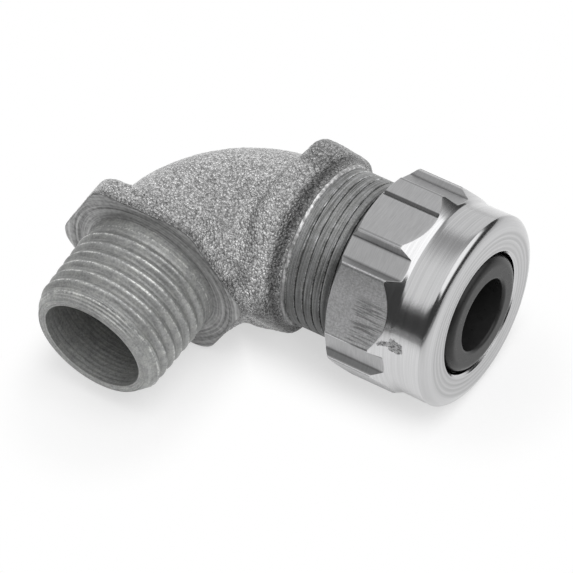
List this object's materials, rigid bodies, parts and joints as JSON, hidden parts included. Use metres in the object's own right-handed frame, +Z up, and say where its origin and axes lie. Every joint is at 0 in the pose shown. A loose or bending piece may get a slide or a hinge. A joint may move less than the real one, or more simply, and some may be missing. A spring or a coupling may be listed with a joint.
{
  "type": "right-angle cord connector",
  "caption": "Right-angle strain-relief cord connector: cast elbow with a taper-threaded hub, and a gland nut that squeezes a rubber bushing round a flexible cord.",
  "frame": {"origin": "on the surface the connector lies on, below the middle of its box", "axes": "+X along the gland axis out of the nut, +Z up with the nut's lowest flat on the surface, hub towards -Y"},
  "size_m": [0.061, 0.0474, 0.0298],
  "materials": {
    "cast_body": "zinc-plated sandy casting with machined threads",
    "nut_aluminium": "bright turned and milled",
    "ring_steel": "plain stamped",
    "bushing_rubber": "smooth moulded"
  },
  "bodies": {
    "elbow": {"elbow_body": "cast_body"},
    "gland_pack": {"slip_ring": "ring_steel", "sealing_bushing": "bushing_rubber"},
    "nut": {"gland_nut": "nut_aluminium"}
  },
  "joints": [
    {"name": "pack_slide", "type": "slide", "parent": "elbow", "child": "gland_pack", "axis": [1, 0, 0], "range_m": [-0.00285, 0.0057]},
    {"name": "nut_turn", "type": "hinge", "parent": "gland_pack", "child": "nut", "pos_m": [0.02068, 0.00813, 0.01488], "axis": [1, 0, 0], "range_deg": [-720, 1440]}
  ],
  "couplings": [
    {"joint": "pack_slide", "follows": "nut_turn", "m_per_rad": 0.00022459}
  ]
}
